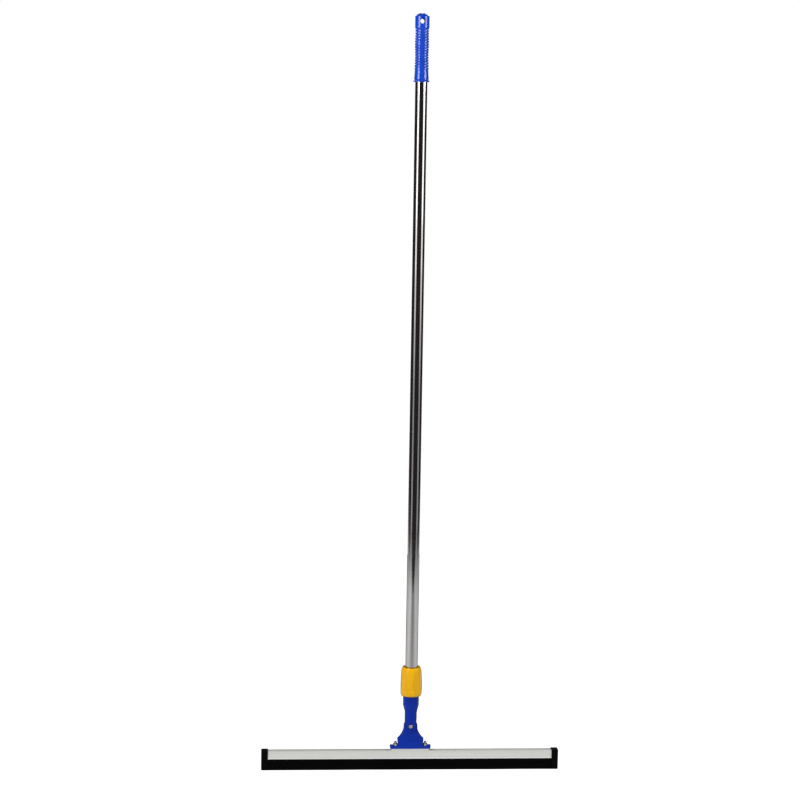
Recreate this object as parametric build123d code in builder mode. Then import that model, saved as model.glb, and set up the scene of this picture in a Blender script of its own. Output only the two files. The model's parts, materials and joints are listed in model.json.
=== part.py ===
"""Long-pole squeegee: swivel head with a 550 mm double blade, screw-lock socket, pole and hanging grip.

Millimetres, +Z up, the blade along X, the front towards -Y. The squeegee hangs from the hole in its
grip, so the origin is the middle of that hole. Heights are counted up from the blade's lower edge.
"""
from build123d import *
import math
import os

os.makedirs("parts", exist_ok=True)

# ---- driving dimensions --------------------------------------------------------------------------
HOLE_HEIGHT = 1385.5          # hanging hole above the blade's lower edge
TOP_HEIGHT = 1400.0           # top of the grip

CHANNEL_LENGTH = 550.0
CHANNEL_DEPTH = 13.4
CHANNEL_BOTTOM = 21.0
CHANNEL_TOP = 36.0
CHANNEL_WALL = 1.6
LIP_DEPTH = 14.3              # over the beads along the channel's two lower edges
LIP_HEIGHT = 2.2
LIP_GAP = 8.9                 # opening between the lips
BEAD_ROUND = 0.4
CHANNEL_TOP_ROUND = 1.3
SHELF_BOTTOM = 30.0           # wall between the blade chamber and the bolt chamber
SHELF_TOP = 31.2
SLOT_WIDTH = 4.6              # open slot along the channel's top, for the bolts' shanks

BLADE_SLIT = 1.2              # gap between the two blade strips
BLADE_DEPTH = 11.2            # over both strips, below the channel
BLADE_TIP_CHAMFER = 1.0
CORE_PLAY = 0.1
CORE_INSET = 1.0              # core strip's edges and ends inside the channel
STRIP_HEAD_TOP = 29.8

CAP_WIDTH = 11.75
CAP_END_WALL = 3.2
CAP_DEPTH = 15.9
CAP_BOTTOM = 0.6
CAP_TOP = 37.4
CAP_ROUND = 1.2
CAP_END_ROUND = 0.9

STRIP_BAR_LENGTH = 72.0       # flat bar between the channel and the foot
STRIP_BAR_DEPTH = 9.0
STRIP_BAR_CHAMFER = 0.6
FOOT_BOTTOM = 39.7
EAR_TOP = 45.0
EAR_HALF = 37.7
EAR_TAPER = 0.7
FOOT_DEPTH = 10.5
FOOT_BOLT_X = 27.8
SHOULDER_HALF = 23.9
SHOULDER_HEIGHT = 58.7
SHOULDER_TAPER = 1.3          # from the shoulder down to the plate
BASE_TOP = 52.0               # of the thicker base under the web
BASE_SLOPE_TOP = 54.0
BASE_TUCK = 0.1               # top edge of the slope inside the web's face
GUSSET_HALF = 1.4
GUSSET_BEND = 56.0
GUSSET_TOP = 67.0
WEB_DEPTH = 8.6
WEB_ROUND = 0.7
FLARE_X = 15.4                # a point half-way along the web's flared side
FLARE_HEIGHT = 69.5
TONGUE_RADIUS = 12.2
TONGUE_DRAFT = 0.2
TONGUE_SIDE_BOTTOM = 78.0

PIVOT_HEIGHT = 83.0
PIVOT_HOLE_RADIUS = 2.05
FORK_GAP = 10.6
FORK_DEPTH = 18.8
CHEEK_RADIUS = 8.8
CROTCH_HEIGHT = 96.5
NECK_WIDTH = 21.0
NECK_DEPTH = 17.2
NECK_CORNER = 5.0
NECK_BOTTOM = 90.0            # lower end of the neck's wide sides, beside the tongue's crown
NECK_TOP = 110.0
STRAP_TOP = 114.0

COLLAR_RADIUS = 13.7          # root of the outside thread
THREAD_CREST = 14.2
THREAD_PITCH = 4.0
COLLAR_BOTTOM = 123.5
COLLAR_RIM = 3.0              # plain rim under the thread
COLLAR_TOP = 170.5
SOCKET_FLOOR = 126.0
MOUTH_BOTTOM = 158.0          # cone in the socket's mouth
MOUTH_RADIUS = 13.3

NUT_BOTTOM = 142.0
NUT_TOP = 195.8
NUT_RADIUS = 19.35
NUT_FLAT_DISTANCE = 17.95
NUT_FLATS = 8
FIRST_FLAT_ANGLE = -19.0      # degrees from the front, positive towards +X
NUT_MOUTH_RADIUS = 12.6

POLE_RADIUS = 11.0
POLE_WALL = 0.6
POLE_BOTTOM = 129.0
POLE_TOP = 1373.0

GRIP_BOTTOM = 1277.0
GRIP_RIM_RADIUS = 14.4
GRIP_THROAT_RADIUS = 13.2     # above the rim
GRIP_MEAN_RADIUS = 12.45      # over the rib crests
GRIP_WAVE = 0.28              # finger waves along the grip
GRIP_WAVE_PITCH = 43.0
RIB_COUNT = 15
RIB_PITCH = 4.8
RIB_HEIGHT = 0.65
RIB_HALF_WIDTH = 2.15         # at the foot
RIB_FLAT_HALF = 1.15          # along the flat crest
FIRST_RIB = 1301.5
HOLE_RADIUS = 4.4

M4_RADIUS = 2.0
M4_CLEAR_RADIUS = 2.2
M4_NUT_HALF = 3.5             # half the distance across the flats
M4_NUT_HEIGHT = 3.2
M4_WASHER_RADIUS = 4.5
M4_THREAD_HOLE = 2.05
CLEAR = 0.15                  # assembly clearance between fixed pieces
OVERLAP = 1.0                 # by which joined volumes and cuts run past a face
RUNNING = 0.06                # radial clearance of sliding and turning fits

# ---- placing -------------------------------------------------------------------------------------
FRONT = Plane(origin=(0, 0, -HOLE_HEIGHT), x_dir=(1, 0, 0), z_dir=(0, -1, 0))   # sketch (x, height)
SIDE = Plane(origin=(0, 0, -HOLE_HEIGHT), x_dir=(0, 1, 0), z_dir=(1, 0, 0))     # sketch (y, height)


def level(height):
    """A horizontal plane at a height above the blade's lower edge."""
    return Plane.XY.offset(height - HOLE_HEIGHT)


def facing_front(height, y):
    """A plane looking forwards, at a height and at a y."""
    return Plane(origin=(0, y, height - HOLE_HEIGHT), x_dir=(1, 0, 0), z_dir=(0, -1, 0))


def block(width, low, high):
    """A rectangle in a (side, height) sketch, centred on the axis, from one height to another."""
    with Locations((0, (low + high) / 2)):
        Rectangle(width, high - low)


def save(builder, name):
    """Labels a finished piece and writes it under its own name."""
    builder.part.label = name
    export_step(builder.part, f"parts/{name}.step")


# ---- blade head ----------------------------------------------------------------------------------
INNER_DEPTH = CHANNEL_DEPTH - 2 * CHANNEL_WALL

with BuildPart() as blade_channel:
    with BuildSketch(SIDE):
        block(CHANNEL_DEPTH, CHANNEL_BOTTOM, CHANNEL_TOP)
        block(LIP_DEPTH, CHANNEL_BOTTOM, CHANNEL_BOTTOM + LIP_HEIGHT)
    extrude(amount=CHANNEL_LENGTH / 2, both=True)
    fillet(blade_channel.edges().filter_by(Axis.X).group_by(Axis.Z)[-1], CHANNEL_TOP_ROUND)
    fillet(blade_channel.edges().filter_by(Axis.X).group_by(Axis.Y)[0], BEAD_ROUND)
    fillet(blade_channel.edges().filter_by(Axis.X).group_by(Axis.Y)[-1], BEAD_ROUND)
    with BuildSketch(SIDE):
        with Locations((0, (CHANNEL_BOTTOM + SHELF_BOTTOM) / 2)):
            Rectangle(LIP_GAP, SHELF_BOTTOM - CHANNEL_BOTTOM)
        with Locations((0, (CHANNEL_BOTTOM + LIP_HEIGHT + SHELF_BOTTOM) / 2)):
            Rectangle(INNER_DEPTH, SHELF_BOTTOM - CHANNEL_BOTTOM - LIP_HEIGHT)
        with Locations((0, (SHELF_TOP + CHANNEL_TOP - CHANNEL_WALL) / 2)):
            Rectangle(INNER_DEPTH, CHANNEL_TOP - CHANNEL_WALL - SHELF_TOP)
    extrude(amount=CHANNEL_LENGTH / 2, both=True, mode=Mode.SUBTRACT)
    with BuildSketch(SIDE):
        block(SLOT_WIDTH, SHELF_TOP + OVERLAP, CHANNEL_TOP + OVERLAP)
    extrude(amount=CHANNEL_LENGTH / 2, both=True, mode=Mode.SUBTRACT)
save(blade_channel, "blade_channel")

with BuildPart() as blade_front:
    with BuildSketch(SIDE):
        with BuildLine():
            Polyline(
                (-BLADE_SLIT / 2, 0),
                (-BLADE_SLIT / 2, STRIP_HEAD_TOP),
                (-INNER_DEPTH / 2 + CLEAR, STRIP_HEAD_TOP),
                (-INNER_DEPTH / 2 + CLEAR, CHANNEL_BOTTOM + LIP_HEIGHT + CLEAR),
                (-LIP_GAP / 2 + CLEAR, CHANNEL_BOTTOM + LIP_HEIGHT + CLEAR),
                (-LIP_GAP / 2 + CLEAR, CHANNEL_BOTTOM - CLEAR),
                (-BLADE_DEPTH / 2, CHANNEL_BOTTOM - CLEAR),
                (-BLADE_DEPTH / 2, BLADE_TIP_CHAMFER),
                (-BLADE_DEPTH / 2 + BLADE_TIP_CHAMFER, 0),
                close=True,
            )
        make_face()
    extrude(amount=CHANNEL_LENGTH / 2, both=True)
save(blade_front, "blade_front")

with BuildPart() as blade_rear:
    mirror(blade_front.part, about=Plane.XZ)
save(blade_rear, "blade_rear")

with BuildPart() as blade_core:
    with BuildSketch(SIDE):
        block(BLADE_SLIT - CORE_PLAY, CHANNEL_BOTTOM + CORE_INSET, STRIP_HEAD_TOP)
    extrude(amount=CHANNEL_LENGTH / 2 - CORE_INSET, both=True)
save(blade_core, "blade_core")

# An end cap is a moulded cover over the ends of the channel and of both blade strips.
CAP_OUTSIDE = CHANNEL_LENGTH / 2 + CAP_END_WALL

with BuildPart() as end_cap_right:
    with BuildSketch(SIDE.offset(CAP_OUTSIDE - CAP_WIDTH)):
        block(CAP_DEPTH, CAP_BOTTOM, CAP_TOP)
    extrude(amount=CAP_WIDTH)
    fillet(end_cap_right.edges().filter_by(Axis.X), CAP_ROUND)
    fillet(end_cap_right.edges().group_by(Axis.X)[-1], CAP_END_ROUND)
    with BuildSketch(SIDE.offset(CAP_OUTSIDE - CAP_WIDTH)):
        block(CHANNEL_DEPTH + 2 * CLEAR, CHANNEL_BOTTOM - CLEAR, CHANNEL_TOP + CLEAR)
        block(LIP_DEPTH + 2 * CLEAR, CHANNEL_BOTTOM - CLEAR, CHANNEL_BOTTOM + LIP_HEIGHT + CLEAR)
        block(BLADE_DEPTH + 2 * CLEAR, CAP_BOTTOM - OVERLAP, CHANNEL_BOTTOM)
    extrude(amount=CAP_WIDTH - CAP_END_WALL + CLEAR, mode=Mode.SUBTRACT)
save(end_cap_right, "end_cap_right")

with BuildPart() as end_cap_left:
    mirror(end_cap_right.part, about=Plane.YZ)
save(end_cap_left, "end_cap_left")

# ---- foot ----------------------------------------------------------------------------------------
WASHER_THICKNESS = 1.0
BOLT_HEAD = 7.0               # square head, held from turning by the channel's sides
BOLT_HEAD_HEIGHT = 2.6
BOLT_END = 3.2                # bolt showing above its nut
BOLT_TIP_CHAMFER = 0.5
NUT_CHAMFER = 0.4

with BuildPart() as fixing_strip:
    with BuildSketch(level(CHANNEL_TOP)):
        Rectangle(STRIP_BAR_LENGTH, STRIP_BAR_DEPTH)
        with GridLocations(2 * FOOT_BOLT_X, 0, 2, 1):
            Circle(M4_CLEAR_RADIUS, mode=Mode.SUBTRACT)
    extrude(amount=FOOT_BOTTOM - CHANNEL_TOP)
    chamfer(fixing_strip.edges().filter_by(Axis.Z), STRIP_BAR_CHAMFER)
save(fixing_strip, "fixing_strip")

with BuildPart() as foot_bracket:
    # web: a round tongue at the pivot, flaring down to the shoulders
    with BuildSketch(FRONT):
        with BuildLine():
            crown = CenterArc((0, PIVOT_HEIGHT), TONGUE_RADIUS, 0, 180)
            right_side = Line(crown @ 0, (TONGUE_RADIUS + TONGUE_DRAFT, TONGUE_SIDE_BOTTOM))
            right_corner = (SHOULDER_HALF, SHOULDER_HEIGHT)
            ThreePointArc(right_side @ 1, (FLARE_X, FLARE_HEIGHT), right_corner)
            right_foot = Line(right_corner, (SHOULDER_HALF - SHOULDER_TAPER, EAR_TOP - OVERLAP))
            left_side = Line(crown @ 1, (-TONGUE_RADIUS - TONGUE_DRAFT, TONGUE_SIDE_BOTTOM))
            left_corner = (-SHOULDER_HALF, SHOULDER_HEIGHT)
            ThreePointArc(left_side @ 1, (-FLARE_X, FLARE_HEIGHT), left_corner)
            left_foot = Line(left_corner, (-SHOULDER_HALF + SHOULDER_TAPER, EAR_TOP - OVERLAP))
            Line(right_foot @ 1, left_foot @ 1)
        make_face()
    extrude(amount=WEB_DEPTH / 2, both=True)
    fillet(foot_bracket.edges().filter_by(GeomType.CIRCLE), WEB_ROUND)
    # plate with an ear at each end for its bolt
    with BuildSketch(FRONT):
        with BuildLine():
            Polyline(
                (-EAR_HALF, EAR_TOP),
                (EAR_HALF, EAR_TOP),
                (EAR_HALF - EAR_TAPER, FOOT_BOTTOM),
                (-EAR_HALF + EAR_TAPER, FOOT_BOTTOM),
                close=True,
            )
        make_face()
    extrude(amount=FOOT_DEPTH / 2, both=True)
    # thicker base under the web, with a sloped top edge
    with BuildSketch(SIDE):
        with BuildLine():
            Polyline(
                (-FOOT_DEPTH / 2, EAR_TOP - OVERLAP),
                (FOOT_DEPTH / 2, EAR_TOP - OVERLAP),
                (FOOT_DEPTH / 2, BASE_TOP),
                (WEB_DEPTH / 2 - BASE_TUCK, BASE_SLOPE_TOP),
                (-WEB_DEPTH / 2 + BASE_TUCK, BASE_SLOPE_TOP),
                (-FOOT_DEPTH / 2, BASE_TOP),
                close=True,
            )
        make_face()
    extrude(amount=SHOULDER_HALF - SHOULDER_TAPER, both=True)
    # gusset up the middle of each face
    with BuildSketch(SIDE):
        with BuildLine():
            Polyline(
                (-FOOT_DEPTH / 2, EAR_TOP),
                (FOOT_DEPTH / 2, EAR_TOP),
                (FOOT_DEPTH / 2, GUSSET_BEND),
                (WEB_DEPTH / 2, GUSSET_TOP),
                (-WEB_DEPTH / 2, GUSSET_TOP),
                (-FOOT_DEPTH / 2, GUSSET_BEND),
                close=True,
            )
        make_face()
    extrude(amount=GUSSET_HALF, both=True)
    with Locations(level(EAR_TOP)):
        with GridLocations(2 * FOOT_BOLT_X, 0, 2, 1):
            Hole(M4_CLEAR_RADIUS, depth=EAR_TOP - FOOT_BOTTOM)
    with Locations(facing_front(PIVOT_HEIGHT, 0)):
        Hole(PIVOT_HOLE_RADIUS)
save(foot_bracket, "foot_bracket")

with BuildPart() as foot_washers:
    with BuildSketch(level(EAR_TOP)):
        with GridLocations(2 * FOOT_BOLT_X, 0, 2, 1):
            Circle(M4_WASHER_RADIUS)
            Circle(M4_CLEAR_RADIUS, mode=Mode.SUBTRACT)
    extrude(amount=WASHER_THICKNESS)
save(foot_washers, "foot_washers")

with BuildPart() as foot_nuts:
    with BuildSketch(level(EAR_TOP + WASHER_THICKNESS)):
        with GridLocations(2 * FOOT_BOLT_X, 0, 2, 1):
            RegularPolygon(M4_NUT_HALF, 6, major_radius=False)
    extrude(amount=M4_NUT_HEIGHT)
    chamfer(foot_nuts.edges().group_by(Axis.Z)[-1], NUT_CHAMFER)
    with BuildSketch(level(EAR_TOP + WASHER_THICKNESS)):
        with GridLocations(2 * FOOT_BOLT_X, 0, 2, 1):
            Circle(M4_THREAD_HOLE)
    extrude(amount=M4_NUT_HEIGHT, mode=Mode.SUBTRACT)
save(foot_nuts, "foot_nuts")

HEAD_SEAT = CHANNEL_TOP - CHANNEL_WALL
BOLT_TOP = EAR_TOP + WASHER_THICKNESS + M4_NUT_HEIGHT + BOLT_END

with BuildPart() as channel_bolts:
    with BuildSketch(level(HEAD_SEAT)):
        with GridLocations(2 * FOOT_BOLT_X, 0, 2, 1):
            Circle(M4_RADIUS)
    extrude(amount=BOLT_TOP - HEAD_SEAT)
    chamfer(channel_bolts.edges().group_by(Axis.Z)[-1], BOLT_TIP_CHAMFER)
    with BuildSketch(level(HEAD_SEAT)):
        with GridLocations(2 * FOOT_BOLT_X, 0, 2, 1):
            Rectangle(BOLT_HEAD, BOLT_HEAD)
    extrude(amount=-BOLT_HEAD_HEIGHT)
save(channel_bolts, "channel_bolts")

# ---- swivel socket -------------------------------------------------------------------------------
RECESS_DEPTH = 3.0
RECESS_RADIUS = 5.5
CHEEK_ROUND = 0.5
HEX_POCKET_DEPTH = 3.0
HEX_POCKET_HALF = 3.6          # half the distance across the pocket's flats
PIVOT_NUT_HEIGHT = 2.8
THREAD_BOTTOM = 128.0
THREAD_TOP = 152.0
THREAD_FOOT = 2.4
THREAD_FLANK = 60

with BuildPart() as swivel_socket:
    # two cheeks, one strap-shaped pad on each side of the neck, round at the pivot
    with BuildSketch(FRONT):
        with Locations((0, PIVOT_HEIGHT)):
            Circle(CHEEK_RADIUS)
        block(2 * CHEEK_RADIUS, PIVOT_HEIGHT, STRAP_TOP)
    extrude(amount=FORK_DEPTH / 2, both=True)
    fillet(swivel_socket.faces().sort_by(Axis.Y)[0].edges(), CHEEK_ROUND)
    fillet(swivel_socket.faces().sort_by(Axis.Y)[-1].edges(), CHEEK_ROUND)
    # neck, then a loft from its rounded rectangle to the round collar
    with BuildSketch(level(NECK_BOTTOM)):
        RectangleRounded(NECK_WIDTH, NECK_DEPTH, NECK_CORNER)
    extrude(amount=NECK_TOP - NECK_BOTTOM)
    with BuildSketch(level(NECK_TOP)):
        RectangleRounded(NECK_WIDTH, FORK_DEPTH, NECK_CORNER)
    with BuildSketch(level(COLLAR_BOTTOM)):
        Circle(THREAD_CREST)
    loft()
    with BuildSketch(level(COLLAR_BOTTOM)):
        Circle(THREAD_CREST)
    extrude(amount=COLLAR_RIM)
    with BuildSketch(level(COLLAR_BOTTOM)):
        Circle(COLLAR_RADIUS)
    extrude(amount=COLLAR_TOP - COLLAR_BOTTOM)
    with BuildSketch(FRONT):
        block(2 * NECK_WIDTH, PIVOT_HEIGHT - 2 * CHEEK_RADIUS, CROTCH_HEIGHT)
    extrude(amount=FORK_GAP / 2, both=True, mode=Mode.SUBTRACT)
    # pole socket, with a cone in its mouth for the grip ring
    with BuildSketch(FRONT):
        with BuildLine():
            Polyline(
                (0, SOCKET_FLOOR),
                (POLE_RADIUS + RUNNING, SOCKET_FLOOR),
                (POLE_RADIUS + RUNNING, MOUTH_BOTTOM),
                (MOUTH_RADIUS, COLLAR_TOP),
                (0, COLLAR_TOP),
                close=True,
            )
        make_face()
    revolve(axis=Axis.Z, mode=Mode.SUBTRACT)
    # screw recess in the front cheek, nut pocket in the rear one
    with Locations(facing_front(PIVOT_HEIGHT, -FORK_DEPTH / 2)):
        CounterBoreHole(M4_THREAD_HOLE, RECESS_RADIUS, RECESS_DEPTH, depth=FORK_DEPTH)
    with BuildSketch(facing_front(PIVOT_HEIGHT, FORK_DEPTH / 2)):
        RegularPolygon(HEX_POCKET_HALF, 6, major_radius=False)
    extrude(amount=HEX_POCKET_DEPTH, mode=Mode.SUBTRACT)
    # outside thread: one right-hand ridge wound up the collar
    thread_start = (0, 0, THREAD_BOTTOM - HOLE_HEIGHT)
    thread_path = Helix(THREAD_PITCH, THREAD_TOP - THREAD_BOTTOM, COLLAR_RADIUS, center=thread_start)
    with BuildSketch(Plane(origin=thread_path @ 0, x_dir=(1, 0, 0), z_dir=(0, 1, 0))):
        Trapezoid(THREAD_FOOT, 2 * (THREAD_CREST - COLLAR_RADIUS), THREAD_FLANK, rotation=90)
    sweep(path=thread_path, is_frenet=True)
save(swivel_socket, "swivel_socket")

FRICTION_RADIUS = 8.0
FRICTION_THICKNESS = 0.9
FRICTION_PLAY = 0.02

with BuildPart() as friction_washers:
    for rear_face in (-FORK_GAP / 2 + FRICTION_PLAY + FRICTION_THICKNESS, FORK_GAP / 2 - FRICTION_PLAY):
        with BuildSketch(facing_front(PIVOT_HEIGHT, rear_face)):
            Circle(FRICTION_RADIUS)
            Circle(M4_CLEAR_RADIUS, mode=Mode.SUBTRACT)
        extrude(amount=FRICTION_THICKNESS)
save(friction_washers, "friction_washers")

PIVOT_WASHER_THICKNESS = 0.8
PIVOT_WASHER_RADIUS = 4.0
PIVOT_SEAT = FORK_DEPTH / 2 - RECESS_DEPTH + PIVOT_WASHER_THICKNESS
PIVOT_HEAD_RADIUS = 3.6
PIVOT_HEAD_RIM = 0.9          # straight side of the screw's domed head
PIVOT_HEAD_HEIGHT = 2.6
PIVOT_SCREW_LENGTH = 15.4
CROSS_LENGTH = 4.4            # cross recess in the head
CROSS_WIDTH = 1.0
CROSS_DEPTH = 1.4
CROSS_ANGLE = 30

with BuildPart() as pivot_washer:
    with BuildSketch(facing_front(PIVOT_HEIGHT, -PIVOT_SEAT + PIVOT_WASHER_THICKNESS)):
        Circle(PIVOT_WASHER_RADIUS)
        Circle(M4_CLEAR_RADIUS, mode=Mode.SUBTRACT)
    extrude(amount=PIVOT_WASHER_THICKNESS)
save(pivot_washer, "pivot_washer")

with BuildPart() as pivot_screw:
    with BuildSketch(facing_front(PIVOT_HEIGHT, -PIVOT_SEAT)):
        Circle(M4_RADIUS)
    extrude(amount=-PIVOT_SCREW_LENGTH)
    chamfer(pivot_screw.edges().group_by(Axis.Y)[-1], BOLT_TIP_CHAMFER)
    with BuildSketch(facing_front(PIVOT_HEIGHT, -PIVOT_SEAT)):
        Circle(PIVOT_HEAD_RADIUS)
    extrude(amount=PIVOT_HEAD_HEIGHT)
    fillet(pivot_screw.edges().group_by(Axis.Y)[0], PIVOT_HEAD_HEIGHT - PIVOT_HEAD_RIM)
    with BuildSketch(facing_front(PIVOT_HEIGHT, -PIVOT_SEAT - PIVOT_HEAD_HEIGHT)):
        Rectangle(CROSS_LENGTH, CROSS_WIDTH, rotation=CROSS_ANGLE)
        Rectangle(CROSS_WIDTH, CROSS_LENGTH, rotation=CROSS_ANGLE)
    extrude(amount=-CROSS_DEPTH, mode=Mode.SUBTRACT)
save(pivot_screw, "pivot_screw")

with BuildPart() as pivot_nut:
    with BuildSketch(facing_front(PIVOT_HEIGHT, FORK_DEPTH / 2 - HEX_POCKET_DEPTH)):
        RegularPolygon(M4_NUT_HALF, 6, major_radius=False)
        Circle(M4_THREAD_HOLE, mode=Mode.SUBTRACT)
    extrude(amount=-PIVOT_NUT_HEIGHT)
    chamfer(pivot_nut.edges().filter_by(GeomType.LINE).group_by(Axis.Y)[-1], NUT_CHAMFER)
save(pivot_nut, "pivot_nut")

# ---- pole clamp ----------------------------------------------------------------------------------
RING_BOTTOM = 161.0
RING_SHOULDER = 172.0
RING_TOP = 178.5
RING_RADIUS = 13.0
RING_TOP_RADIUS = 12.1
RING_BOTTOM_RADIUS = 11.25
RING_SPLIT = 2.0
RING_REST = 0.5               # ring's cone ends this far above the socket's mouth
FIT_GAP = 0.3                 # cone faces of the ring against the socket and the nut

with BuildPart() as grip_ring:
    with BuildSketch(FRONT):
        with BuildLine():
            Polyline(
                (POLE_RADIUS + RUNNING, RING_BOTTOM),
                (RING_BOTTOM_RADIUS, RING_BOTTOM),
                (RING_RADIUS, COLLAR_TOP + RING_REST),
                (RING_RADIUS, RING_SHOULDER),
                (RING_TOP_RADIUS, RING_TOP),
                (POLE_RADIUS + RUNNING, RING_TOP),
                close=True,
            )
        make_face()
    revolve(axis=Axis.Z)
    with BuildSketch(level(RING_BOTTOM)):
        with Locations((0, RING_RADIUS)):
            Rectangle(RING_SPLIT, 2 * RING_RADIUS)
    extrude(amount=RING_TOP - RING_BOTTOM, mode=Mode.SUBTRACT)
save(grip_ring, "grip_ring")

FLAT_BOTTOM = 154.0
FLAT_WIDTH = 11.8
FLAT_CUT = 3.0
TAPER_START = 165.0
TAPER_MIDDLE = 177.0
TAPER_MIDDLE_INSET = 0.4
NUT_SHOULDER = 189.0
NUT_SHOULDER_INSET = 1.1
SKIRT_CHAMFER = 1.8
SKIRT_CHAMFER_HEIGHT = 3.0
SKIRT_TAPER = 0.3
SKIRT_TAPER_HEIGHT = 11.0
TOP_INSET = 2.9
TOP_CHAMFER = 0.6
TOP_CHAMFER_HEIGHT = 1.2
MOUTH_FLARE = 1.4             # of the opening the pole comes out of
MOUTH_FLARE_HEIGHT = 4.0
THREAD_GAP = 0.1
RING_HEADROOM = 1.0

with BuildPart() as lock_nut:
    with BuildSketch(FRONT):
        with BuildLine():
            Polyline(
                (THREAD_CREST + THREAD_GAP, NUT_BOTTOM),
                (NUT_RADIUS - SKIRT_CHAMFER, NUT_BOTTOM),
                (NUT_RADIUS - SKIRT_TAPER, NUT_BOTTOM + SKIRT_CHAMFER_HEIGHT),
                (NUT_RADIUS, NUT_BOTTOM + SKIRT_TAPER_HEIGHT),
                (NUT_RADIUS, TAPER_START),
                (NUT_RADIUS - TAPER_MIDDLE_INSET, TAPER_MIDDLE),
                (NUT_RADIUS - NUT_SHOULDER_INSET, NUT_SHOULDER),
                (NUT_RADIUS - TOP_INSET, NUT_TOP - TOP_CHAMFER_HEIGHT),
                (NUT_RADIUS - TOP_INSET - TOP_CHAMFER, NUT_TOP),
                (NUT_MOUTH_RADIUS + MOUTH_FLARE, NUT_TOP),
                (NUT_MOUTH_RADIUS, NUT_TOP - MOUTH_FLARE_HEIGHT),
                (NUT_MOUTH_RADIUS, RING_TOP + RING_HEADROOM),
                (RING_TOP_RADIUS + FIT_GAP, RING_TOP),
                (RING_RADIUS + FIT_GAP, RING_SHOULDER),
                (THREAD_CREST + THREAD_GAP, RING_SHOULDER),
                close=True,
            )
        make_face()
    revolve(axis=Axis.Z)
    # flats down the sides, each with a round lower end
    for turn in range(NUT_FLATS):
        angle = math.radians(FIRST_FLAT_ANGLE + 360 / NUT_FLATS * turn)
        outwards = (math.sin(angle), -math.cos(angle), 0)
        along = (math.cos(angle), math.sin(angle), 0)
        flat = Plane(origin=(0, 0, -HOLE_HEIGHT), x_dir=along, z_dir=outwards)
        with BuildSketch(flat.offset(NUT_FLAT_DISTANCE)):
            block(FLAT_WIDTH, FLAT_BOTTOM + FLAT_WIDTH / 2, NUT_TOP)
            with Locations((0, FLAT_BOTTOM + FLAT_WIDTH / 2)):
                Circle(FLAT_WIDTH / 2)
        extrude(amount=FLAT_CUT, mode=Mode.SUBTRACT)
save(lock_nut, "lock_nut")

# ---- pole ----------------------------------------------------------------------------------------
with BuildPart() as pole_tube:
    with BuildSketch(level(POLE_BOTTOM)):
        Circle(POLE_RADIUS)
        Circle(POLE_RADIUS - POLE_WALL, mode=Mode.SUBTRACT)
    extrude(amount=POLE_TOP - POLE_BOTTOM)
save(pole_tube, "pole_tube")

PLUG_LENGTH = 16.0
PLUG_FLANGE = 1.8
PLUG_FLANGE_RADIUS = POLE_RADIUS - 0.3
PLUG_RADIUS = POLE_RADIUS - POLE_WALL - 0.05
PLUG_CHAMFER = 0.6

with BuildPart() as pole_end_plug:
    with BuildSketch(FRONT):
        with BuildLine():
            Polyline(
                (0, POLE_BOTTOM - PLUG_FLANGE),
                (PLUG_FLANGE_RADIUS - PLUG_CHAMFER, POLE_BOTTOM - PLUG_FLANGE),
                (PLUG_FLANGE_RADIUS, POLE_BOTTOM - PLUG_FLANGE + PLUG_CHAMFER),
                (PLUG_FLANGE_RADIUS, POLE_BOTTOM),
                (PLUG_RADIUS, POLE_BOTTOM),
                (PLUG_RADIUS, POLE_BOTTOM + PLUG_LENGTH - 2 * PLUG_CHAMFER),
                (PLUG_RADIUS - PLUG_CHAMFER, POLE_BOTTOM + PLUG_LENGTH),
                (0, POLE_BOTTOM + PLUG_LENGTH),
                close=True,
            )
        make_face()
    revolve(axis=Axis.Z)
save(pole_end_plug, "pole_end_plug")


# ---- hanging grip --------------------------------------------------------------------------------
def grip_radius(height):
    """The grip's outer radius over the rib crests: gentle finger waves."""
    return GRIP_MEAN_RADIUS + GRIP_WAVE * math.cos(2 * math.pi * (height - FIRST_RIB) / GRIP_WAVE_PITCH)


THROAT_START = GRIP_BOTTOM + 4.5
LAST_RIB = FIRST_RIB + (RIB_COUNT - 1) * RIB_PITCH
SMOOTH_RADIUS = 12.9
DOME_RISE = 5.4
DOME_ROUND = 1.6
DOME_RADIUS = (SMOOTH_RADIUS**2 + DOME_RISE**2) / (2 * DOME_RISE)
DISH_DEPTH = 2.6
DISH_WIDTH = 2.2
GROOVE_WIDTH = 3.2
GROOVE_DEPTH = 1.3
GROOVE_CORNER = 5.5
GRIP_FIT = 0.02
POLE_END_GAP = 0.5
SMOOTH_START = 5.0            # plain top of the grip above the last rib
RIM_CHAMFER = 0.65
RIM_HEIGHT = 2.2


def dome(share):
    """A point on the grip's domed top, from the axis (0) to the edge (1)."""
    angle = share * math.asin(SMOOTH_RADIUS / DOME_RADIUS)
    return (DOME_RADIUS * math.sin(angle), TOP_HEIGHT - DOME_RADIUS * (1 - math.cos(angle)))


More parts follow.
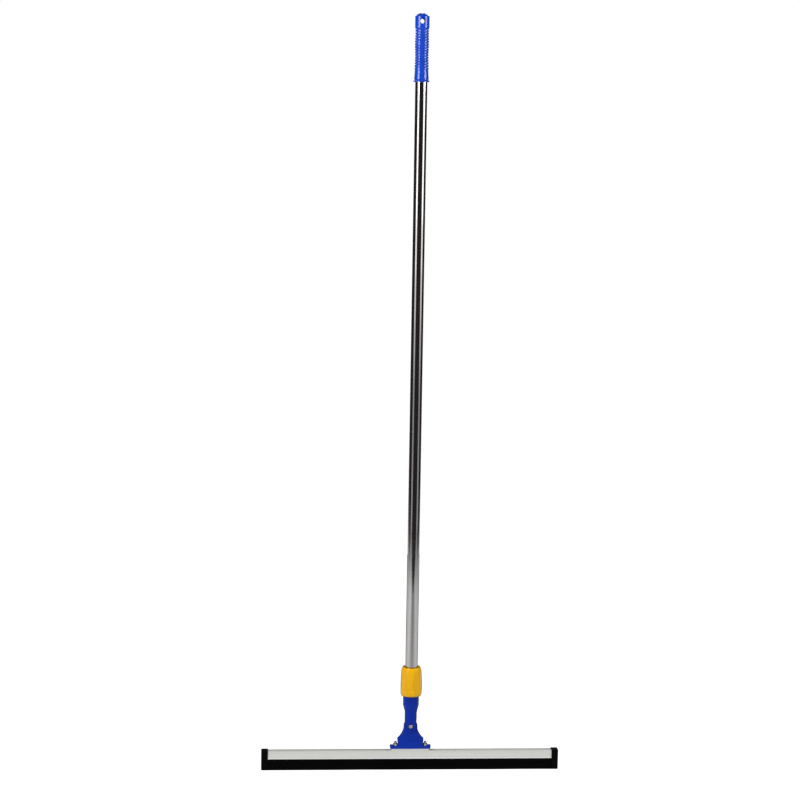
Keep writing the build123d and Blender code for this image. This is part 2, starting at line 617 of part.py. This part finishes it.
with BuildPart() as hanging_grip:
    with BuildSketch(FRONT):
        with BuildLine():
            start = (POLE_RADIUS + GRIP_FIT, GRIP_BOTTOM)
            Polyline(
                start,
                (GRIP_RIM_RADIUS - RIM_CHAMFER, GRIP_BOTTOM),
                (GRIP_RIM_RADIUS, GRIP_BOTTOM + RIM_CHAMFER),
                (GRIP_RIM_RADIUS, GRIP_BOTTOM + RIM_HEIGHT),
                (GRIP_THROAT_RADIUS, THROAT_START),
            )
            last = (GRIP_THROAT_RADIUS, THROAT_START)
            for rib in range(RIB_COUNT):
                height = FIRST_RIB + rib * RIB_PITCH
                crest = grip_radius(height)
                foot = (crest - RIB_HEIGHT, height - RIB_HALF_WIDTH)
                head = (crest - RIB_HEIGHT, height + RIB_HALF_WIDTH)
                crest_low = (crest, height - RIB_FLAT_HALF)
                crest_high = (crest, height + RIB_FLAT_HALF)
                Polyline(last, foot, crest_low, crest_high, head)
                last = head
            Line(last, (SMOOTH_RADIUS, LAST_RIB + SMOOTH_START))
            Line((SMOOTH_RADIUS, LAST_RIB + SMOOTH_START), dome(1.0))
            ThreePointArc(dome(1.0), dome(0.5), dome(0.0))
            Line((0, TOP_HEIGHT), (0, POLE_TOP + POLE_END_GAP))
            Line((0, POLE_TOP + POLE_END_GAP), (POLE_RADIUS + GRIP_FIT, POLE_TOP + POLE_END_GAP))
            Line((POLE_RADIUS + GRIP_FIT, POLE_TOP + POLE_END_GAP), start)
        make_face()
    revolve(axis=Axis.Z)
    rim_length = 2 * math.pi * SMOOTH_RADIUS
    rims = hanging_grip.edges().filter_by(lambda edge: abs(edge.length - rim_length) < 0.01)
    fillet(rims.sort_by(Axis.Z)[-1], DOME_ROUND)
    # hanging hole, dished on both faces, with a cord groove up and over the top
    with Locations(facing_front(HOLE_HEIGHT, 0)):
        Hole(HOLE_RADIUS)
        for side in (-1, 1):
            middle = (0, 0, side * (SMOOTH_RADIUS - DISH_DEPTH / 2 + 0.5))
            with Locations(Location(middle, (90 - side * 90, 0, 0))):
                Cone(HOLE_RADIUS, HOLE_RADIUS + DISH_WIDTH, DISH_DEPTH + 1.0, mode=Mode.SUBTRACT)
    with BuildSketch(SIDE):
        block(2 * SMOOTH_RADIUS + 2.0, HOLE_HEIGHT, TOP_HEIGHT + 1.0)
        with Locations((0, HOLE_HEIGHT)):
            RectangleRounded(
                2 * (SMOOTH_RADIUS - GROOVE_DEPTH),
                2 * (TOP_HEIGHT - HOLE_HEIGHT - GROOVE_DEPTH),
                GROOVE_CORNER,
                mode=Mode.SUBTRACT,
            )
    extrude(amount=GROOVE_WIDTH / 2, both=True, mode=Mode.SUBTRACT)
save(hanging_grip, "hanging_grip")
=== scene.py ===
"""Looks for the long-pole squeegee: materials, rubber strips, camera and studio.

Metres, in the part's own frame: +Z up, -Y the front, the origin in the grip's hanging hole.
"""
import json
import math

import bmesh
import bpy
from mathutils import Matrix, Vector, noise


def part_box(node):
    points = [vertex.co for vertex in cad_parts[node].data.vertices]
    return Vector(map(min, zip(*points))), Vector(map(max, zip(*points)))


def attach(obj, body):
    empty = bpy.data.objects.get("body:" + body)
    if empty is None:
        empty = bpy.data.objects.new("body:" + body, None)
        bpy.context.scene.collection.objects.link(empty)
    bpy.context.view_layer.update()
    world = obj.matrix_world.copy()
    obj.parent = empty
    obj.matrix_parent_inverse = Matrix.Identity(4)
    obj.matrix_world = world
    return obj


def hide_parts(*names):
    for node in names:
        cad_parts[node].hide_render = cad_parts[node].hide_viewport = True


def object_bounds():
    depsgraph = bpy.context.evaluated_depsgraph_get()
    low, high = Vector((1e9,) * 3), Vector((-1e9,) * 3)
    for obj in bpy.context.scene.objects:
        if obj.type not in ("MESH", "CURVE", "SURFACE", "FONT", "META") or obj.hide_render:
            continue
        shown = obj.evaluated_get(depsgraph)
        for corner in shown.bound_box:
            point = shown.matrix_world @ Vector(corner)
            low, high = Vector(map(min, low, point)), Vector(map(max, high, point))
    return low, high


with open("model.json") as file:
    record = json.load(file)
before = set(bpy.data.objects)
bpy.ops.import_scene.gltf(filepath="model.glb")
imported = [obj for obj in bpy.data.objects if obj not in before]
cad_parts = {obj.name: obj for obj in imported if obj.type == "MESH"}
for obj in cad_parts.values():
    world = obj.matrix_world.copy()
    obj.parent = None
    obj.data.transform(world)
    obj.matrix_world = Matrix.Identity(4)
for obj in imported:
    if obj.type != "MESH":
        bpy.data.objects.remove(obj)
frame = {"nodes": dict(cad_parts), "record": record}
cad_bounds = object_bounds()
MM = 0.001

EDGE_HEIGHT = cad_bounds[0].z           # of the blade's lower edge


# ---- material building ---------------------------------------------------------------------------
class Finish:
    """A procedural material: a Principled shader and textures in the object's own coordinates."""

    def __init__(self, name, roughness, metallic=0.0, **constants):
        self.material = bpy.data.materials.new(name)
        self.material.use_nodes = True
        self.tree = self.material.node_tree
        self.shader = self.tree.nodes["Principled BSDF"]
        self.shader.inputs["Roughness"].default_value = roughness
        self.shader.inputs["Metallic"].default_value = metallic
        for socket, value in constants.items():
            self.shader.inputs[socket.replace("_", " ")].default_value = value
        self.place = self.node("ShaderNodeTexCoord").outputs["Object"]
        self.normal = None

    def node(self, kind, **settings):
        made = self.tree.nodes.new(kind)
        for name, value in settings.items():
            setattr(made, name, value)
        return made

    def stretched(self, stretch):
        """The object's coordinates with one unit longer along some axes."""
        mapping = self.node("ShaderNodeMapping")
        mapping.inputs["Scale"].default_value = [1 / s for s in stretch]
        self.tree.links.new(self.place, mapping.inputs["Vector"])
        return mapping.outputs["Vector"]

    def noise(self, size, detail=3.0, stretch=(1, 1, 1), distortion=0.0):
        """Noise from 0 to 1, with grains of about that size in metres."""
        made = self.node("ShaderNodeTexNoise")
        made.inputs["Scale"].default_value = 1 / size
        made.inputs["Detail"].default_value = detail
        made.inputs["Distortion"].default_value = distortion
        self.tree.links.new(self.stretched(stretch), made.inputs["Vector"])
        return made.outputs["Fac"]

    def pores(self, size):
        """Small round cells: the distance to the nearest cell's centre."""
        made = self.node("ShaderNodeTexVoronoi")
        made.inputs["Scale"].default_value = 1 / size
        self.tree.links.new(self.place, made.inputs["Vector"])
        return made.outputs["Distance"]

    def height_share(self, low, high):
        """0 at one height, 1 at the other, clamped. The first may be the higher one."""
        split = self.node("ShaderNodeSeparateXYZ")
        self.tree.links.new(self.place, split.inputs["Vector"])
        return self.span(split.outputs["Z"], low, high, 0.0, 1.0)

    def span(self, value, start, end, low, high):
        """Maps start..end to low..high, clamped."""
        made = self.node("ShaderNodeMapRange")
        self.tree.links.new(value, made.inputs["Value"])
        for socket, number in (("From Min", start), ("From Max", end), ("To Min", low), ("To Max", high)):
            made.inputs[socket].default_value = number
        return made.outputs["Result"]

    def mix(self, share, first, second):
        """A colour between two colours or colour outputs."""
        made = self.node("ShaderNodeMix", data_type="RGBA")
        self.tree.links.new(share, made.inputs["Factor"])
        for socket, colour in ((made.inputs[6], first), (made.inputs[7], second)):
            if isinstance(colour, (tuple, list)):
                socket.default_value = (*colour, 1.0)
            else:
                self.tree.links.new(colour, socket)
        return made.outputs[2]

    def colour(self, output):
        self.tree.links.new(output, self.shader.inputs["Base Color"])

    def roughness(self, value, low, high, start=0.35, end=0.65):
        self.tree.links.new(self.span(value, start, end, low, high), self.shader.inputs["Roughness"])

    def bump(self, height, depth):
        """Adds a bump layer of a real depth in metres on top of the earlier ones."""
        made = self.node("ShaderNodeBump")
        made.inputs["Strength"].default_value = 1.0
        made.inputs["Distance"].default_value = depth
        self.tree.links.new(height, made.inputs["Height"])
        if self.normal is not None:
            self.tree.links.new(self.normal, made.inputs["Normal"])
        self.normal = made.outputs["Normal"]
        self.tree.links.new(self.normal, self.shader.inputs["Normal"])


def scaled(colour, factor):
    return tuple(channel * factor for channel in colour)


# ---- finishes ------------------------------------------------------------------------------------
DUST_TOP = EDGE_HEIGHT + 5 * MM         # dust on the rubber fades in from here
DUST_BOTTOM = EDGE_HEIGHT + 0.5 * MM    # down to here
PAINTED_HIGHLIGHT_TOP = EDGE_HEIGHT + 23.6 * MM      # painted highlight: a brighter band along the channel's lower edge
PAINTED_HIGHLIGHT_BOTTOM = EDGE_HEIGHT + 22.6 * MM


def moulded_plastic(name, base, low_roughness, high_roughness, specular=0.5, scuffs=0.0, grain=0.004):
    """Injection-moulded plastic: cloudy colour, light scuffs and an eroded skin. grain is in mm."""
    finish = Finish(name, low_roughness, Specular_IOR_Level=specular)
    clouds = finish.noise(28 * MM, detail=2.0)
    grains = finish.noise(1.3 * MM, detail=4.0)
    cloudy = finish.span(clouds, 0.3, 0.7, 0.0, 1.0)
    grainy = finish.span(grains, 0.35, 0.7, 0.0, 0.35)
    tone = finish.mix(cloudy, scaled(base, 0.90), scaled(base, 1.08))
    fine = finish.mix(grainy, tone, scaled(base, 0.80))
    if scuffs > 0:
        rub = finish.noise(9 * MM, detail=6.0, stretch=(1, 1, 3), distortion=0.6)
        rubbed = finish.span(rub, 0.58, 0.74, 0.0, scuffs)
        fine = finish.mix(rubbed, fine, scaled(base, 1.7))
    finish.colour(fine)
    finish.roughness(finish.noise(6 * MM, detail=5.0), low_roughness, high_roughness)
    finish.bump(finish.noise(14 * MM, detail=1.0), 0.02 * MM)
    finish.bump(finish.noise(0.55 * MM, detail=3.0), grain * MM)
    return finish.material


def cellular_rubber():
    """Black moss rubber: fine pores, long extrusion streaks, paler dust near the wiping edge."""
    finish = Finish("squeegee_rubber", 0.7, Specular_IOR_Level=0.04)
    black = (0.0008, 0.0008, 0.0009)
    grey = (0.0022, 0.0022, 0.0024)
    dust = (0.012, 0.0115, 0.0105)
    streaks = finish.noise(1.0 * MM, detail=3.0, stretch=(90, 1, 1))
    patches = finish.noise(17 * MM, detail=5.0, stretch=(3, 1, 1))
    body = finish.mix(finish.span(streaks, 0.35, 0.7, 0.0, 1.0), black, grey)
    edge = finish.height_share(DUST_TOP, DUST_BOTTOM)
    worn = finish.node("ShaderNodeMath", operation="MULTIPLY")
    finish.tree.links.new(edge, worn.inputs[0])
    finish.tree.links.new(finish.span(patches, 0.45, 0.75, 0.0, 0.5), worn.inputs[1])
    finish.colour(finish.mix(worn.outputs["Value"], body, dust))
    finish.roughness(patches, 0.62, 0.82)
    finish.bump(streaks, 0.03 * MM)
    finish.bump(finish.pores(0.55 * MM), 0.05 * MM)
    return finish.material


def drawn_aluminium():
    """Extruded aluminium with a pale satin anodised skin: die lines along the bar and a painted highlight
    along the lower edge.
    """
    finish = Finish("anodised_aluminium", 0.36, metallic=0.35)
    lines = finish.noise(0.35 * MM, detail=4.0, stretch=(600, 1, 1))
    bands = finish.noise(3.5 * MM, detail=2.0, stretch=(200, 1, 1))
    painted_highlight = finish.height_share(PAINTED_HIGHLIGHT_TOP, PAINTED_HIGHLIGHT_BOTTOM)
    banded = finish.span(bands, 0.3, 0.7, 0.0, 1.0)
    lined = finish.span(lines, 0.4, 0.75, 0.0, 0.4)
    tone = finish.mix(banded, (0.76, 0.76, 0.73), (0.84, 0.84, 0.81))
    drawn = finish.mix(lined, tone, (0.66, 0.66, 0.64))
    # The near-white band at the lower edge is painted highlight on the rounded lip, not a brighter metal.
    finish.colour(finish.mix(painted_highlight, drawn, (0.95, 0.95, 0.93)))
    finish.roughness(lines, 0.30, 0.44)
    finish.bump(lines, 0.012 * MM)
    return finish.material


def polished_steel():
    """Thin stainless tube: bright, with faint drawing lines along it and hazy smears."""
    finish = Finish("polished_stainless", 0.09, metallic=1.0)
    lines = finish.noise(0.5 * MM, detail=3.0, stretch=(1, 1, 500))
    smears = finish.noise(22 * MM, detail=4.0, stretch=(1, 1, 4), distortion=0.4)
    smeared = finish.span(smears, 0.35, 0.7, 0.0, 1.0)
    finish.colour(finish.mix(smeared, (0.62, 0.61, 0.60), (0.56, 0.55, 0.54)))
    finish.roughness(smears, 0.07, 0.13)
    finish.bump(lines, 0.002 * MM)
    return finish.material


def zinc_plate():
    """Bright zinc plate on small steel fasteners: a fine grain and slightly cloudy gloss."""
    finish = Finish("zinc_plated_steel", 0.16, metallic=1.0)
    grain = finish.noise(0.7 * MM, detail=4.0)
    clouds = finish.noise(2.5 * MM, detail=2.0)
    cloudy = finish.span(clouds, 0.35, 0.65, 0.0, 1.0)
    finish.colour(finish.mix(cloudy, (0.66, 0.67, 0.68), (0.52, 0.53, 0.54)))
    finish.roughness(grain, 0.12, 0.22)
    finish.bump(grain, 0.006 * MM)
    return finish.material


def natural_nylon():
    """Unpigmented nylon of the clamp ring and the friction washers: waxy and slightly translucent."""
    finish = Finish("natural_nylon", 0.42, Subsurface_Weight=0.15, Subsurface_Scale=1.5 * MM)
    clouds = finish.noise(5 * MM, detail=3.0)
    cloudy = finish.span(clouds, 0.3, 0.7, 0.0, 1.0)
    finish.colour(finish.mix(cloudy, (0.78, 0.76, 0.70), (0.70, 0.67, 0.60)))
    finish.roughness(finish.noise(1.2 * MM), 0.36, 0.50)
    finish.bump(finish.noise(0.5 * MM), 0.015 * MM)
    return finish.material


# The head's blue is the grip's plastic made darker: painted shade that keeps the low head darker than the
# grip under the same lights.
SHADED_HEAD_BLUE = (0.002, 0.028, 0.36)
GRIP_BLUE = (0.006, 0.052, 0.46)
YELLOW = (0.86, 0.45, 0.002)
BLACK = (0.0012, 0.0012, 0.0014)

FINISHES = {
    "blue_plastic": moulded_plastic(
        "blue_plastic_satin", SHADED_HEAD_BLUE, 0.32, 0.44, specular=0.15, scuffs=0.10, grain=0.010),
    "yellow_plastic": moulded_plastic(
        "yellow_plastic_gloss", YELLOW, 0.20, 0.30, specular=0.28, scuffs=0.08),
    "black_plastic": moulded_plastic(
        "black_plastic_satin", BLACK, 0.42, 0.58, specular=0.06, grain=0.015),
    "black_rubber": cellular_rubber(),
    "aluminium": drawn_aluminium(),
    "stainless": polished_steel(),
    "zinc_steel": zinc_plate(),
    "nylon": natural_nylon(),
}
rubber = FINISHES["black_rubber"]
glossy_blue = moulded_plastic("blue_plastic_gloss", GRIP_BLUE, 0.10, 0.16, scuffs=0.10, grain=0.001)

for part in frame["record"]["subparts"]:
    cad_node = frame["nodes"][part["node"]]
    finish = glossy_blue if part["node"] == "hanging_grip" else FINISHES[part["material_slot"]]
    cad_node.data.materials.clear()
    cad_node.data.materials.append(finish)


# ---- rubber strips -------------------------------------------------------------------------------
STATION = 4 * MM            # spacing of the cross-sections along a strip
LIP_HEIGHT = 2.2 * MM       # of the channel's lower lips, which hold the strip's head
LIP_REACH = 1.3 * MM        # how far the strip stands out below the lip's inner edge
HEAD_REACH = 0.5 * MM       # how far the head stands out above the lip
LIP_PLAY = 0.15 * MM
EDGE_ROUND = 0.9 * MM       # outer corner of the wiping edge
SLIT_ROUND = 0.25 * MM      # inner corner, at the slit between the strips
BODY_ROUND = 0.3 * MM
HEAD_ROUND = 0.2 * MM
NECK_ROUND = 0.1 * MM
CORNER_STEPS = 4
WAVE_HEIGHT = 0.12 * MM     # uneven wiping edge
WAVE_LENGTH = 60 * MM
WAVE_ROW = 7.0              # keeps the two strips' waves apart
FACE_FADE = 2               # the face's wave grows with this power of the way down
EDGE_FADE = 6               # the edge's wave stays near the edge
SHARP_ANGLE = math.radians(40)


def rounded(corner, before, after, radius):
    """The points of a round corner between two neighbouring outline points."""
    start = corner + (before - corner).normalized() * radius
    end = corner + (after - corner).normalized() * radius
    for step in range(CORNER_STEPS + 1):
        t = step / CORNER_STEPS
        yield start * (1 - t) ** 2 + corner * 2 * t * (1 - t) + end * t**2


def strip_outline(low, high, channel_bottom):
    """The strip's section as (depth from the slit, height): head in the channel, neck, leg, round edge."""
    depth = high.y - low.y
    neck = depth - LIP_REACH
    lip_top = channel_bottom + LIP_HEIGHT + LIP_PLAY
    lip_bottom = channel_bottom - LIP_PLAY
    corners = [
        (Vector((0, high.z)), BODY_ROUND),
        (Vector((0, low.z)), SLIT_ROUND),
        (Vector((depth, low.z)), EDGE_ROUND),
        (Vector((depth, lip_bottom)), BODY_ROUND),
        (Vector((neck, lip_bottom)), NECK_ROUND),
        (Vector((neck, lip_top)), NECK_ROUND),
        (Vector((neck + HEAD_REACH, lip_top)), HEAD_ROUND),
        (Vector((neck + HEAD_REACH, high.z)), BODY_ROUND),
    ]
    outline = []
    for index, (corner, radius) in enumerate(corners):
        before = corners[index - 1][0]
        after = corners[(index + 1) % len(corners)][0]
        outline.extend(rounded(corner, before, after, radius))
    return outline


def rubber_strip(node, side):
    """A rubber strip in place of its plain solid. side is -1 for the front strip and +1 for the rear one."""
    low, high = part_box(node)
    channel_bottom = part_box("blade_channel")[0].z
    slit_y = high.y if side < 0 else low.y
    outline = strip_outline(low, high, channel_bottom)
    count = round((high.x - low.x) / STATION)
    mesh = bmesh.new()
    rings = []
    for index in range(count + 1):
        x = low.x + (high.x - low.x) * index / count
        wave = noise.noise(Vector((x / WAVE_LENGTH, side * WAVE_ROW, 0.0)))
        ring = []
        for depth, height in outline:
            hang = max(0.0, (channel_bottom - height) / (channel_bottom - low.z))
            y = slit_y + side * (depth - WAVE_HEIGHT * (1 + wave) * hang**FACE_FADE)
            z = height + WAVE_HEIGHT * (1 + wave) * hang**EDGE_FADE
            ring.append(mesh.verts.new((x, y, z)))
        rings.append(ring)
    for near, far in zip(rings, rings[1:]):
        for index in range(len(outline)):
            following = (index + 1) % len(outline)
            mesh.faces.new((near[index], near[following], far[following], far[index]))
    mesh.faces.new(rings[0])
    mesh.faces.new(rings[-1])
    bmesh.ops.recalc_face_normals(mesh, faces=mesh.faces)
    for face in mesh.faces:
        face.smooth = len(face.verts) == 4
    data = bpy.data.meshes.new(node + "_strip")
    mesh.to_mesh(data)
    mesh.free()
    data.set_sharp_from_angle(angle=SHARP_ANGLE)
    data.materials.append(rubber)
    strip = bpy.data.objects.new(node + "_strip", data)
    bpy.context.scene.collection.objects.link(strip)
    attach(strip, "head")
    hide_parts(node)


rubber_strip("blade_front", -1)
rubber_strip("blade_rear", 1)

# ---- camera --------------------------------------------------------------------------------------
CAMERA_PLACE = Vector((-0.33246, -4.1596, -0.14545))
CAMERA_YAW = math.radians(4.166)        # to the right of +Y
CAMERA_PITCH = math.radians(7.408)      # downwards
CAMERA_ROLL = math.radians(0.915)

camera_data = bpy.data.cameras.new("camera")
camera_data.lens = 103.0
camera_data.sensor_width = 36.0
camera = bpy.data.objects.new("camera", camera_data)
bpy.context.scene.collection.objects.link(camera)
heading = Matrix.Rotation(-CAMERA_YAW, 3, "Z")
tilt = Matrix.Rotation(math.radians(90) - CAMERA_PITCH, 3, "X")
roll = Matrix.Rotation(CAMERA_ROLL, 3, "Z")
camera.matrix_world = Matrix.Translation(CAMERA_PLACE) @ (heading @ tilt @ roll).to_4x4()
bpy.context.scene.camera = camera


# ---- studio --------------------------------------------------------------------------------------
def panel(name, azimuth, distance, low, high, width, radiance):
    """An upright soft light facing the object, from low to high above the blade's edge.

    Azimuth is from the front, positive to the right.
    """
    data = bpy.data.lights.new(name, "AREA")
    data.shape = "RECTANGLE"
    data.size = width
    data.size_y = high - low
    data.energy = radiance * math.pi * width * (high - low)
    light = bpy.data.objects.new(name, data)
    bpy.context.scene.collection.objects.link(light)
    angle = math.radians(azimuth)
    middle = EDGE_HEIGHT + (low + high) / 2
    place = Vector((math.sin(angle) * distance, -math.cos(angle) * distance, middle))
    inwards = Vector((-place.x, -place.y, 0))
    facing = inwards.to_track_quat("-Z", "Y").to_matrix().to_4x4()
    light.matrix_world = Matrix.Translation(place) @ facing
    light.visible_camera = False
    return light


SIDE_DISTANCE = 1.8
LEFT_AZIMUTH, LEFT_WIDTH = -53.5, 0.93
RIGHT_AZIMUTH, RIGHT_WIDTH = 61.5, 1.02
RIGHT_SHARE = 0.92          # of the left side's radiance
REAR_AZIMUTH = 150.0
# (lower edge, upper edge, radiance) of the panels on each side: bright above, fading towards the floor
SIDE_PANELS = [
    (1.29, 2.10, 9.0),
    (0.93, 1.29, 2.1),
    (0.80, 0.93, 1.3),
    (0.67, 0.80, 0.9),
    (0.54, 0.67, 0.6),
    (0.12, 0.54, 0.35),
]
for low, high, radiance in SIDE_PANELS:
    panel(f"left_{low:.2f}", LEFT_AZIMUTH, SIDE_DISTANCE, low, high, LEFT_WIDTH, radiance)
    panel(f"right_{low:.2f}", RIGHT_AZIMUTH, SIDE_DISTANCE, low, high, RIGHT_WIDTH,
          radiance * RIGHT_SHARE)
for side in (-1, 1):
    panel(f"rear_{side}", side * REAR_AZIMUTH, distance=2.6, low=1.9, high=2.9, width=1.6, radiance=4.0)
key = panel("key", azimuth=-38.0, distance=2.3, low=1.1, high=2.6, width=1.5, radiance=4.2)
key.visible_glossy = False


def ground(name, height, half_width, front, back, finish):
    """A level sheet under the squeegee, not part of it."""
    data = bpy.data.meshes.new(name)
    corners = [
        (-half_width, front, height),
        (half_width, front, height),
        (half_width, back, height),
        (-half_width, back, height),
    ]
    data.from_pydata(corners, [], [(0, 1, 2, 3)])
    data.materials.append(finish.material)
    sheet = bpy.data.objects.new(name, data)
    bpy.context.scene.collection.objects.link(sheet)
    return sheet


# The squeegee hangs from its hole, clear of the floor, so the blade can slide down and swing.
HANGING_GAP = 0.29
floor_finish = Finish("pale_floor", 0.8, Specular_IOR_Level=0.1)
floor_clouds = floor_finish.noise(0.6, detail=2.0)
floor_finish.colour(floor_finish.mix(floor_clouds, (0.84, 0.84, 0.84), (0.80, 0.80, 0.79)))
floor = ground("floor", EDGE_HEIGHT - HANGING_GAP, half_width=3.5, front=-2.6, back=3.5,
               finish=floor_finish)
floor.is_shadow_catcher = True

# A reflector under the blade's edge, seen only in reflections: dim in front, bright at the sides. The
# dimming is painted shade and the brightening is painted pools of light from the side panels.
REFLECTOR_DROP = 0.2 * MM
FRONT_START, FRONT_END = -0.3, -1.0     # Y where the painted shade deepens
SIDE_START, SIDE_END = 0.35, 1.0        # distance from the middle where the painted light grows
MIDDLE = (0.62, 0.62, 0.62)
FRONT_PAINTED_SHADE = (0.37, 0.37, 0.37)
SIDES_PAINTED_LIGHT = (0.84, 0.84, 0.84)
card = Finish("reflector", 0.8, Specular_IOR_Level=0.1)
card_place = card.node("ShaderNodeSeparateXYZ")
card.tree.links.new(card.place, card_place.inputs["Vector"])
sideways = card.node("ShaderNodeMath", operation="ABSOLUTE")
card.tree.links.new(card_place.outputs["X"], sideways.inputs[0])
painted_front_shade = card.span(card_place.outputs["Y"], FRONT_START, FRONT_END, 0.0, 1.0)
painted_side_light = card.span(sideways.outputs["Value"], SIDE_START, SIDE_END, 0.0, 1.0)
card.colour(card.mix(painted_side_light, card.mix(painted_front_shade, MIDDLE, FRONT_PAINTED_SHADE), SIDES_PAINTED_LIGHT))
reflector = ground("reflector", EDGE_HEIGHT - REFLECTOR_DROP, half_width=2.0, front=-1.6, back=2.2,
                   finish=card)
reflector.visible_camera = False
reflector.visible_diffuse = False
reflector.visible_shadow = False

BACKDROP = (1.0, 1.0, 1.0, 1.0)         # seen behind the object
FILL = (0.26, 0.26, 0.26, 1.0)          # soft light from all round
REFLECTED = (0.024, 0.021, 0.020, 1.0)  # the dark studio round the panels
world = bpy.data.worlds.new("studio")
world.use_nodes = True
bpy.context.scene.world = world
world_nodes = world.node_tree.nodes
world_links = world.node_tree.links
world_nodes.clear()
ray = world_nodes.new("ShaderNodeLightPath")
shades = []
for colour in (FILL, REFLECTED, BACKDROP):
    background = world_nodes.new("ShaderNodeBackground")
    background.inputs["Color"].default_value = colour
    shades.append(background.outputs["Background"])
fill_shade, reflected_shade, backdrop_shade = shades
around = world_nodes.new("ShaderNodeMixShader")
everything = world_nodes.new("ShaderNodeMixShader")
output = world_nodes.new("ShaderNodeOutputWorld")
world_links.new(ray.outputs["Is Glossy Ray"], around.inputs["Fac"])
world_links.new(fill_shade, around.inputs[1])
world_links.new(reflected_shade, around.inputs[2])
world_links.new(ray.outputs["Is Camera Ray"], everything.inputs["Fac"])
world_links.new(around.outputs["Shader"], everything.inputs[1])
world_links.new(backdrop_shade, everything.inputs[2])
world_links.new(everything.outputs["Shader"], output.inputs["Surface"])

bpy.context.scene.view_settings.view_transform = "Standard"
